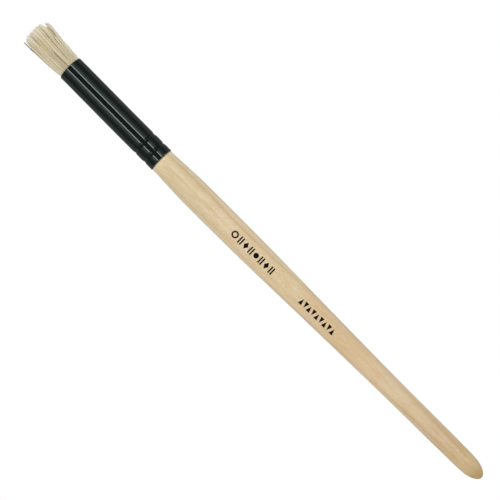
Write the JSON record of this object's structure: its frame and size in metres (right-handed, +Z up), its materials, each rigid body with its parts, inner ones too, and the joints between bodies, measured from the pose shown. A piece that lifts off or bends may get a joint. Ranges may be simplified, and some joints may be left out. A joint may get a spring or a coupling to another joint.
{
  "type": "round stencil brush",
  "caption": "Round stencil brush: short stiff flat-cut natural-bristle tuft in a crimped black metal ferrule on a tapered, clear-finished turned wooden handle.",
  "frame": {"origin": "centre of the bristles' working face, on the brush's axis", "axes": "+X along the brush, out of the bristles' working face, so that the handle runs along -X; +Z up with the brush lying on its side, +Y completes the right-handed frame"},
  "size_m": [0.1703, 0.0087, 0.0086],
  "materials": {
    "handle_wood": "satin",
    "ferrule_lacquer": "gloss",
    "setting_resin": "gloss",
    "thread": "matte",
    "bristle": "satin",
    "marking_ink": "satin"
  },
  "bodies": {
    "root": {"handle": "handle_wood", "ferrule": "ferrule_lacquer", "resin_plug": "setting_resin", "binding_thread": "thread", "bristle_lock_centre": "bristle", "bristle_lock_inner_01": "bristle", "bristle_lock_inner_02": "bristle", "bristle_lock_inner_03": "bristle", "bristle_lock_inner_04": "bristle", "bristle_lock_inner_05": "bristle", "bristle_lock_inner_06": "bristle", "bristle_lock_middle_01": "bristle", "bristle_lock_middle_02": "bristle", "bristle_lock_middle_03": "bristle", "bristle_lock_middle_04": "bristle", "bristle_lock_middle_05": "bristle", "bristle_lock_middle_06": "bristle", "bristle_lock_middle_07": "bristle", "bristle_lock_middle_08": "bristle", "bristle_lock_middle_09": "bristle", "bristle_lock_middle_10": "bristle", "bristle_lock_middle_11": "bristle", "bristle_lock_middle_12": "bristle", "bristle_lock_outer_01": "bristle", "bristle_lock_outer_02": "bristle", "bristle_lock_outer_03": "bristle", "bristle_lock_outer_04": "bristle", "bristle_lock_outer_05": "bristle", "bristle_lock_outer_06": "bristle", "bristle_lock_outer_07": "bristle", "bristle_lock_outer_08": "bristle", "bristle_lock_outer_09": "bristle", "bristle_lock_outer_10": "bristle", "bristle_lock_outer_11": "bristle", "bristle_lock_outer_12": "bristle", "bristle_lock_outer_13": "bristle", "bristle_lock_outer_14": "bristle", "bristle_lock_outer_15": "bristle", "bristle_lock_outer_16": "bristle", "bristle_lock_outer_17": "bristle", "bristle_lock_outer_18": "bristle"}
  },
  "joints": []
}
